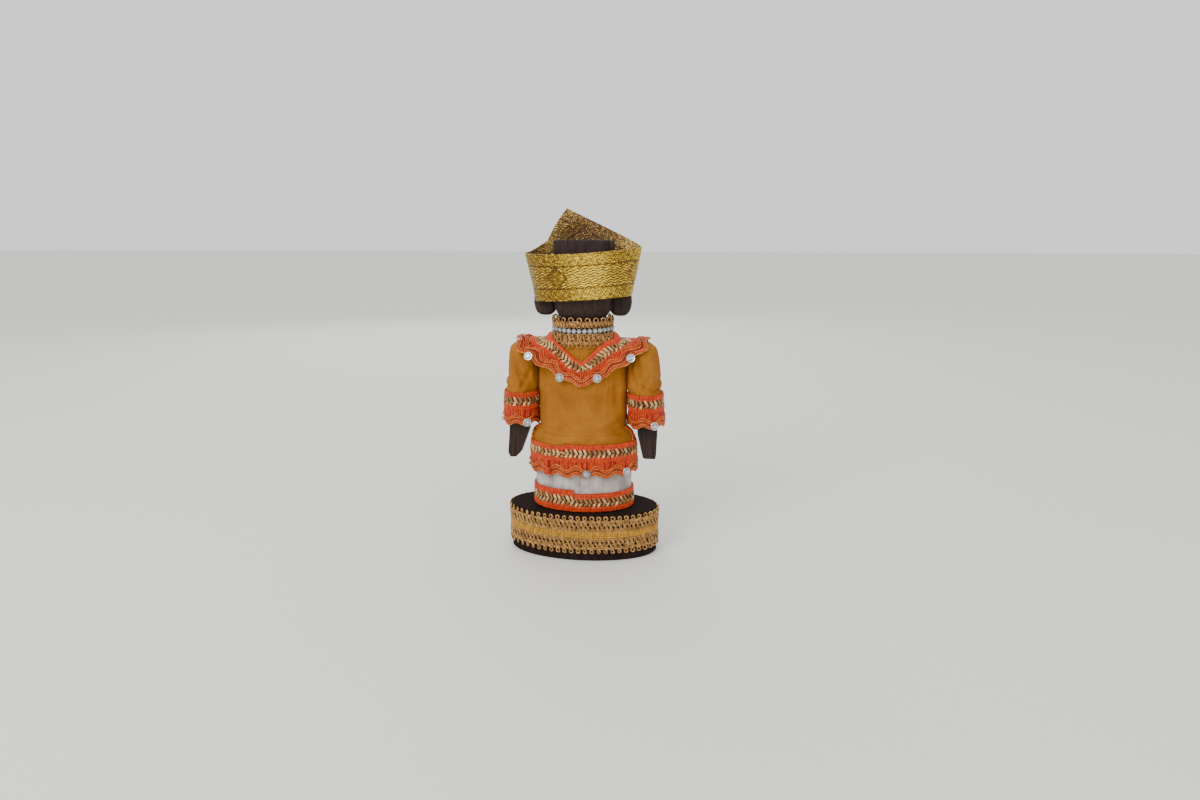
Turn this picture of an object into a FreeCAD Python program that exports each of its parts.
"""Dressed wooden puppet doll on an oval plinth.

A carved dark wood figure stands on an oval block. It wears a white satin underskirt, a
mustard tunic with two short sleeves, orange and gold braids, gold gimp, glass stones and a
crown folded from a brocade ribbon. Each arm is a separate carved piece that swings on a
round-headed pin through the shoulder.

Frame: origin at the centre of the plinth's underside, +Z up, the doll's face towards -Y,
its left hand towards +X. Units are millimetres.
"""
import FreeCAD
import Part

import math
import os

Vector = FreeCAD.Vector
BIG = 200.0                                    # longer than the doll, for cutting tools

# ---------------------------------------------------------------- driving dimensions
BASE_A, BASE_B, BASE_H = 41.5, 21.5, 26.5      # oval plinth: half length, half depth, height
BASE_EDGE = 0.8                                # chamfer round the plinth's underside
SKIRT_GAP = 0.5                                # the skirt's hem hangs this far above the plinth
HEAD_TOP = 172.5                               # flat top of the carved head
HEAD_SHIFT = -1.0                              # the head sits a little to the doll's right
PIVOT_Z = 107.0                                # height of the shoulder pins
PIN_R, PIN_CLEARANCE = 1.5, 0.05               # shoulder pin and its running clearance
PIN_HEAD_R, PIN_HEAD_T = 2.8, 1.0
PIN_IN, PIN_OUT = 13.0, 38.9                   # pin from inside the torso to under its head
SPOT_FACE_GAP = 0.15                           # space round the pin's head in its seat
TUNIC_HOLE_R, SLEEVE_HOLE_R = 1.8, 2.7         # holes that the pin passes in the cloth
ARM_X = 33.0                                   # middle of the arm along X
PEG_R, PEG_LOW, PEG_HIGH = 4.0, 10.0, 44.0     # dowel that joins figure and plinth

# thicknesses of cloth and trim
CLOTH = 1.2                                    # folded cotton
SATIN = 0.9
BRAID = 1.3                                    # flat orange and gold braid
SCALLOP = 1.8                                  # thicker braid of wavy cords
GIMP = 1.2                                     # open gold gimp
LACE = 1.0
CHAIN = 1.9                                    # cup chain of small stones
RIBBON = 0.8                                   # brocade ribbon of the crown

STONE_R, STONE_CUP, STONE_DOME = 2.3, 1.0, 1.1  # glass stone in its metal cup
STONE_GIRDLE_R, STONE_TABLE_R = 2.0, 1.0       # cone that stands for the cut glass
STONE_RISE = 2.6                               # stone's centre above a scalloped edge
STONE_SINK = 0.2                               # depth that a stone's cup sits in the braid

# heights of the bands of trim
BASE_BRAID_Z = (4.3, 26.4)
SKIRT_BRAID_Z = (27.3, 39.0)
HEM_BRAID_Z = (55.4, 64.6)
HEM_SCALLOP_Z = (46.6, 55.4)
CUFF_BRAID_Z = (81.6, 91.4)
CUFF_SCALLOP_Z = (72.2, 81.6)
LACE_Z = (116.4, 124.4)
CHAIN_Z = (124.6, 127.1)
NECK_GIMP_Z = (127.2, 132.9)
NECK_BAND = (15.2, 12.5)                       # half width and depth inside the chain and gimp

# ---------------------------------------------------------------- lofted outlines
# Each row is (height, half width along X, half depth along Y).
TORSO = [(BASE_H, 22.0, 13.6), (60, 22.0, 13.6), (76, 21.0, 13.2), (108, 21.0, 12.6),
         (115, 20.4, 12.3), (120, 15.4, 11.6), (124.5, 14.4, 11.4)]
SKIRT = [(BASE_H + SKIRT_GAP, 27.4, 17.2), (45, 27.1, 17.0), (60, 26.6, 16.6),
         (65.5, 24.4, 15.6), (70, 22.5, 15.0)]
TUNIC = [(HEM_SCALLOP_Z[0], 29.0, 18.2), (56, 29.2, 18.3), (63.6, 28.8, 17.9),
         (70.2, 27.2, 17.1), (71.8, 23.7, 16.6), (76, 23.7, 16.1), (92, 23.7, 15.3), (108, 23.7, 14.7),
         (115, 22.2, 14.3), (119.5, 19.0, 13.5), (122.5, 16.4, 12.9), (LACE_Z[1], 15.6, 12.7)]
# Each row is (height, centre along X, half width, half depth) of the left sleeve.
SLEEVE = [(CUFF_SCALLOP_Z[0], 34.8, 9.0, 10.4), (82, 34.8, 9.0, 10.8), (92, 34.2, 8.9, 11.0),
          (93.5, 33.3, 9.2, 11.0), (100, 33.2, 9.2, 11.4), (PIVOT_Z, 33.1, 9.1, 12.0),
          (112, 33.1, 8.3, 11.2),
          (116, 33.0, 6.6, 8.2), (118.6, 32.8, 3.6, 4.2)]
# Each row is (height, shift along X, half width, half depth, corner radius) of neck and head.
HEAD = [(122, 0, 14.4, 11.4, 11.0), (127, 0, 13.4, 11.2, 10.8), (130.6, 0, 11.2, 10.2, 9.8),
        (134.0, -0.3, 14.2, 12.2, 11.0), (138, HEAD_SHIFT, 15.4, 14.0, 8.0),
        (160, HEAD_SHIFT, 15.3, 14.2, 7.0), (HEAD_TOP, HEAD_SHIFT, 15.0, 12.4, 5.0)]

NOSE = [(-12, 155), (-14, 154), (-17.4, 144.6), (-14.6, 142.8), (-12, 142.8)]  # along Y and Z
NOSE_W = 4.4
EAR = (20.0, 139.6)                            # centre of the ear along X and Z
EAR_SIZE = (6.6, 5.0, 7.6)                     # its half sizes

# ---------------------------------------------------------------- collar, seen along Y
# Right halves of three V lines: the neck edge, the seam between the braids, the outer edge.
COLLAR_TOP = 130.0
ROLL_R, ROLL_X = 12.9, 36.8                    # round of the shoulders that the collar lies on
COLLAR_INNER = [(0, 110.0), (16.8, 123.5), (16.8, COLLAR_TOP)]
COLLAR_SEAM = [(0, 101.0), (8.0, 103.4), (29.5, 119.5), (29.5, COLLAR_TOP)]
COLLAR_OUTER = [(0, 96.3), (8.0, 98.3), (20.0, 105.0), (ROLL_X, 118.0), (ROLL_X, COLLAR_TOP)]
COLLAR_Z = (94.0, 124.1)                       # heights between which the collar is cut
COLLAR_LIFT = 0.05                             # space between the collar and the lace under it
COLLAR_RISE = 0.4                              # the collar stands this far over the tunic's slope
COLLAR_STONES = [(10.0, 101.6), (27.3, 112.6)]  # on both sides, back and front

# angles in degrees, counted from the back; on a cuff they grow towards the outside
HEM_STONES = 8
HEM_STONE_FIRST, HEM_STONE_MISSING = -14, 1    # one of the eight stones has come off
CUFF_STONE_ANGLES = {"left": (-25, 130, 235), "right": (24, 130, 235)}

# ---------------------------------------------------------------- crown
CROWN = [(140.0, 25.4, 18.2), (194.0, 36.2, 26.8)]     # its flared oval, as height and half axes
CROWN_BACK = [(40, 140.2), (40, 165.2), (-40, 169.6), (-40, 144.4)]
CROWN_FRONT = [(40, 140.2), (40, 165.2), (30.7, 165.7), (24.0, 170.7), (12.6, 189.5),
               (-30.9, 169.1), (-40, 169.6), (-40, 144.4), (-26.3, 143.7), (4.0, 158.5),
               (25.4, 141.0)]

# ---------------------------------------------------------------- arms
# Inner and outer X of an arm at the heights of ARM_Z, then its finger tip.
ARM_Z = (117.0, 90.0, 68.0)
LEFT_ARM = {"inner": (28.2, 29.0, 30.9), "outer": (38.4, 40.4, 41.4),
            "tip": (37.0, 42.6), "tip_z": 52.6, "corner": 2.4}
RIGHT_ARM = {"inner": (28.2, 28.8, 30.5), "outer": (38.4, 40.2, 41.0),
             "tip": (33.8, 40.5), "tip_z": 54.2, "corner": 0.8}
ARM_TOP_R, ARM_TIP_T = 5.2, 3.0     # half thickness along Y at the shoulder and at the tip


# ---------------------------------------------------------------- helpers
def oval(cx, z, a, b):
    """Closed elliptical wire at height z; the longer half axis may lie along X or Y."""
    centre = Vector(cx, 0, z)
    on_x, on_y, on_minus_x = Vector(cx + a, 0, z), Vector(cx, b, z), Vector(cx - a, 0, z)
    ends = (on_x, on_y) if a >= b else (on_y, on_minus_x)
    return Part.Wire(Part.Ellipse(*ends, centre).toShape())


def rounded(z, cx, a, b, radius):
    """Closed wire of a rectangle with round corners at height z."""
    edges = []
    for k in range(4):
        turn = k * math.pi / 2
        side_x, side_y = ((1, 1), (-1, 1), (-1, -1), (1, -1))[k]
        corner = Vector(cx + side_x * (a - radius), side_y * (b - radius), z)
        spots = [corner + Vector(radius * math.cos(turn + part), radius * math.sin(turn + part), 0)
                 for part in (0, math.pi / 4, math.pi / 2)]
        if edges:
            edges.append(Part.makeLine(edges[-1].Vertexes[-1].Point, spots[0]))
        edges.append(Part.Arc(*spots).toShape())
    edges.append(Part.makeLine(edges[-1].Vertexes[-1].Point, edges[0].Vertexes[0].Point))
    return Part.Wire(edges)


def loft(rows, grow=0.0, rise=0.0):
    """Solid through rows of (z, a, b) or (z, cx, a, b), with every half axis grown."""
    wires = []
    for row in rows:
        z, cx, a, b = row if len(row) == 4 else (row[0], 0.0, row[1], row[2])
        wires.append(oval(cx, z + rise, a + grow, b + grow))
    return Part.makeLoft(wires, True, True)


def slab(z_low, z_high):
    return Part.makeBox(BIG, BIG, z_high - z_low, Vector(-BIG / 2, -BIG / 2, z_low))


def prism_along_y(points, y_low=-BIG / 2, y_high=BIG / 2):
    """Solid whose outline in X and Z is a polygon."""
    wire = Part.makePolygon([Vector(x, y_low, z) for x, z in points + points[:1]])
    return Part.Face(wire).extrude(Vector(0, y_high - y_low, 0))


def prism_along_x(points, width=BIG):
    """Solid whose outline in Y and Z is a polygon, centred on X = 0."""
    wire = Part.makePolygon([Vector(-width / 2, y, z) for y, z in points + points[:1]])
    return Part.Face(wire).extrude(Vector(width, 0, 0))


def cylinder_x(radius, x_low, x_high):
    """Cylinder along X about the line of the shoulder pins."""
    return Part.makeCylinder(radius, x_high - x_low, Vector(x_low, 0, PIVOT_Z), Vector(1, 0, 0))


def ring(rows, span, thickness):
    """Band of cloth or braid round a lofted body, between two heights."""
    return loft(rows, thickness).cut(loft(rows)).common(slab(*span))


def neck_ring(span, thickness):
    """Upright band round the neck."""
    return ring([(z, *NECK_BAND) for z in span], span, thickness)


def mirrored(shape):
    return shape.mirror(Vector(0, 0, 0), Vector(1, 0, 0))


def save(name, shape):
    shape.exportStep(f"parts/{name}.step")
    print(f"{name:20s} solids {len(shape.Solids)} valid {shape.isValid()} volume {shape.Volume:9.1f}")


# ---------------------------------------------------------------- stones
def stone(point, normal):
    """Glass stone in a round metal cup, standing on a surface."""
    cup = Part.makeCylinder(STONE_R, STONE_CUP, point, normal)
    girdle = point + normal * STONE_CUP
    return cup.fuse(Part.makeCone(STONE_GIRDLE_R, STONE_TABLE_R, STONE_DOME, girdle, normal))


def on_oval(a, b, angle):
    """Point on an oval and its outward normal; angle 0 is the back, positive towards +X."""
    s, c = math.sin(angle), math.cos(angle)
    return Vector(a * s, b * c, 0), Vector(s / a, c / b, 0).normalize()


def stones_on_band(row, z, angles, band):
    """Stones on the oval band of a hem or cuff, at angles in degrees from the back."""
    _, cx, a, b = row if len(row) == 4 else (row[0], 0.0, row[1], row[2])
    reach = SCALLOP - STONE_SINK
    found = []
    for angle in angles:
        point, normal = on_oval(a + reach, b + reach, math.radians(angle))
        found.append(stone(point + Vector(cx, 0, z), normal).cut(band))
    return Part.makeCompound(found)


def hem_stone_angles():
    step = 360 / HEM_STONES
    return [HEM_STONE_FIRST + k * step for k in range(HEM_STONES) if k != HEM_STONE_MISSING]


# ---------------------------------------------------------------- plinth and carved figure
def plinth_oval(grow, z_low, z_high):
    face = Part.Face(oval(0, z_low, BASE_A + grow, BASE_B + grow))
    return face.extrude(Vector(0, 0, z_high - z_low))


def make_base():
    block = plinth_oval(0, 0, BASE_H)
    rim = [edge for edge in block.Edges if edge.BoundBox.ZMax < BASE_EDGE]
    socket = Part.makeCylinder(PEG_R, BIG, Vector(0, 0, PEG_LOW))
    return block.makeChamfer(BASE_EDGE, rim).cut(socket)


def make_ear():
    stretch = FreeCAD.Matrix()
    stretch.scale(*EAR_SIZE)
    ear = Part.makeSphere(1.0).transformGeometry(stretch)
    ear.translate(Vector(EAR[0], 0, EAR[1]))
    return ear


def make_figure():
    """Torso, neck and head from one piece of wood, bored for the pins and the dowel."""
    head = Part.makeLoft([rounded(*row) for row in HEAD], True, True)
    nose = prism_along_x(NOSE, NOSE_W)
    nose.translate(Vector(HEAD_SHIFT, 0, 0))
    body = loft(TORSO).fuse([head, make_ear(), mirrored(make_ear()), nose])
    hole = cylinder_x(PIN_R, PIN_IN, BIG / 2)
    dowel = Part.makeCylinder(PEG_R, PEG_HIGH)
    return body.cut(hole).cut(mirrored(hole)).cut(dowel)


def make_pin():
    return cylinder_x(PIN_R, PIN_IN, PIN_OUT).fuse(cylinder_x(PIN_HEAD_R, PIN_OUT, PIN_OUT + PIN_HEAD_T))


# ---------------------------------------------------------------- clothes
def make_tunic(figure):
    shell = loft(TUNIC).cut(loft(TUNIC, -CLOTH))
    return shell.cut(loft(SKIRT)).cut(figure).cut(cylinder_x(TUNIC_HOLE_R, -BIG / 2, BIG / 2))


def half_space(sign):
    """Everything behind the middle plane (sign 1) or in front of it (sign -1)."""
    y_low = 0 if sign > 0 else -BIG
    return Part.makeBox(BIG, BIG, BIG * 2, Vector(-BIG / 2, y_low, -BIG))


def both_sides(half):
    """A V line from its right half, running from the left side to the right side."""
    return [(-x, z) for x, z in reversed(half[1:])] + list(half)


def shoulder_roll(radius):
    """Round of both shoulders about the line of the pins, with straight sides below it."""
    reach = ROLL_X + CLOTH
    sides = Part.makeBox(2 * reach, 2 * radius, ROLL_R, Vector(-reach, -radius, PIVOT_Z - ROLL_R))
    return cylinder_x(radius, -reach, reach).fuse(sides)


def collar_shell(thickness):
    """Shell that lies on the tunic and over both shoulders, before it is cut to a V."""
    under = LACE + COLLAR_LIFT
    inner = loft(TUNIC, under, COLLAR_RISE).fuse(shoulder_roll(ROLL_R))
    outer = loft(TUNIC, under + thickness, 2 * COLLAR_RISE).fuse(shoulder_roll(ROLL_R + thickness))
    return outer.cut(inner).common(slab(*COLLAR_Z))


def v_band(thickness, upper, lower):
    """Braid of the collar between two V lines."""
    outline = both_sides(upper) + list(reversed(both_sides(lower)))
    return collar_shell(thickness).common(prism_along_y(outline))


def make_collar_stones(collar):
    """Stones at the scallops' crests, at the back and the front."""
    found = []
    for x, z in COLLAR_STONES:
        lean = max(z - PIVOT_Z, 0) / ROLL_R
        for side_x in (-1, 1):
            for side_y in (-1, 1):
                start, end = Vector(side_x * x, 0, z), Vector(side_x * x, side_y * BIG / 2, z)
                hits = Part.makeLine(start, end).common(collar)
                y = max(abs(vertex.Y) for vertex in hits.Vertexes) - STONE_SINK
                normal = Vector(0, side_y, lean).normalize()
                found.append(stone(Vector(side_x * x, side_y * y, z), normal).cut(collar))
    return Part.makeCompound(found)


def make_crown(figure):
    """Ribbon band at the back; its two ends rise and meet in a peak at the front."""
    shell = loft(CROWN).cut(loft(CROWN, -RIBBON))
    back = prism_along_y(CROWN_BACK, 0, BIG / 2)
    front = prism_along_y(CROWN_FRONT, -BIG / 2, 0)
    return shell.common(back.fuse(front)).cut(figure)


# ---------------------------------------------------------------- arms
def make_arm(shape):
    """Flat carved arm: a tapering outline from the front, a rounded shoulder from the side."""
    inner = list(zip(shape["inner"], ARM_Z))
    outer = list(zip(shape["outer"], ARM_Z))
    tip_in, tip_out = shape["tip"]
    low, corner = shape["tip_z"], shape["corner"]
    tip = [(tip_in - corner / 2, low + corner), (tip_in + corner / 2, low),
           (tip_out - corner / 2, low), (tip_out, low + corner)]
    front = prism_along_y(inner + tip + list(reversed(outer)))
    side = prism_along_x([(-ARM_TOP_R, PIVOT_Z), (-ARM_TIP_T, low - 1), (ARM_TIP_T, low - 1),
                          (ARM_TOP_R, PIVOT_Z)])
    side = side.fuse(cylinder_x(ARM_TOP_R, -BIG / 2, BIG / 2))
    bore = cylinder_x(PIN_R + PIN_CLEARANCE, 0, BIG / 2)
    spot_face = cylinder_x(PIN_HEAD_R + SPOT_FACE_GAP, PIN_OUT - SPOT_FACE_GAP, BIG / 2)
    return front.common(side).removeSplitter().cut(bore).cut(spot_face)


def make_sleeve():
    shell = loft(SLEEVE).cut(loft(SLEEVE, -CLOTH, -CLOTH))
    return shell.cut(cylinder_x(SLEEVE_HOLE_R, 0, ARM_X))


def save_arm_side(side, shape):
    """Writes the five pieces of one arm; they are drawn on the left and mirrored for the right."""
    scallop = ring(SLEEVE, CUFF_SCALLOP_Z, SCALLOP)
    stones = stones_on_band(SLEEVE[0], CUFF_SCALLOP_Z[0] + STONE_RISE, CUFF_STONE_ANGLES[side],
                            scallop)
    pieces = {
        "arm": make_arm(shape),
        "sleeve": make_sleeve(),
        "cuff_braid": ring(SLEEVE, CUFF_BRAID_Z, BRAID),
        "cuff_scallop": scallop,
        "cuff_stones": stones,
    }
    for name, piece in pieces.items():
        save(f"{side}_{name}", piece if side == "left" else mirrored(piece))


# ---------------------------------------------------------------- the assembly
def main():
    os.makedirs("parts", exist_ok=True)

    save("base_block", make_base())
    save("base_braid", plinth_oval(GIMP, *BASE_BRAID_Z).cut(plinth_oval(0, 0, BASE_H)))
    save("base_peg", Part.makeCylinder(PEG_R, PEG_HIGH - PEG_LOW, Vector(0, 0, PEG_LOW)))

    figure = make_figure()
    save("carved_figure", figure)
    save("left_shoulder_pin", make_pin())
    save("right_shoulder_pin", mirrored(make_pin()))

    save("underskirt", loft(SKIRT).cut(loft(SKIRT, -SATIN)))
    save("skirt_hem_braid", ring(SKIRT, SKIRT_BRAID_Z, BRAID))

    tunic = make_tunic(figure)
    save("tunic_back", tunic.common(half_space(1)))
    save("tunic_front", tunic.common(half_space(-1)))
    hem_scallop = ring(TUNIC, HEM_SCALLOP_Z, SCALLOP)
    save("tunic_hem_braid", ring(TUNIC, HEM_BRAID_Z, BRAID))
    save("tunic_hem_scallop", hem_scallop)
    save("tunic_hem_stones", stones_on_band(TUNIC[0], HEM_SCALLOP_Z[0] + STONE_RISE,
                                            hem_stone_angles(), hem_scallop))

    collar_scallop = v_band(SCALLOP, COLLAR_SEAM, COLLAR_OUTER)
    save("collar_braid", v_band(BRAID, COLLAR_INNER, COLLAR_SEAM))
    save("collar_scallop", collar_scallop)
    save("collar_stones", make_collar_stones(collar_scallop))

    save("neck_lace", ring(TUNIC, LACE_Z, LACE))
    save("neck_stone_chain", neck_ring(CHAIN_Z, CHAIN))
    save("neck_gimp", neck_ring(NECK_GIMP_Z, GIMP))
    save("crown_ribbon", make_crown(figure))

    save_arm_side("left", LEFT_ARM)
    save_arm_side("right", RIGHT_ARM)


main()
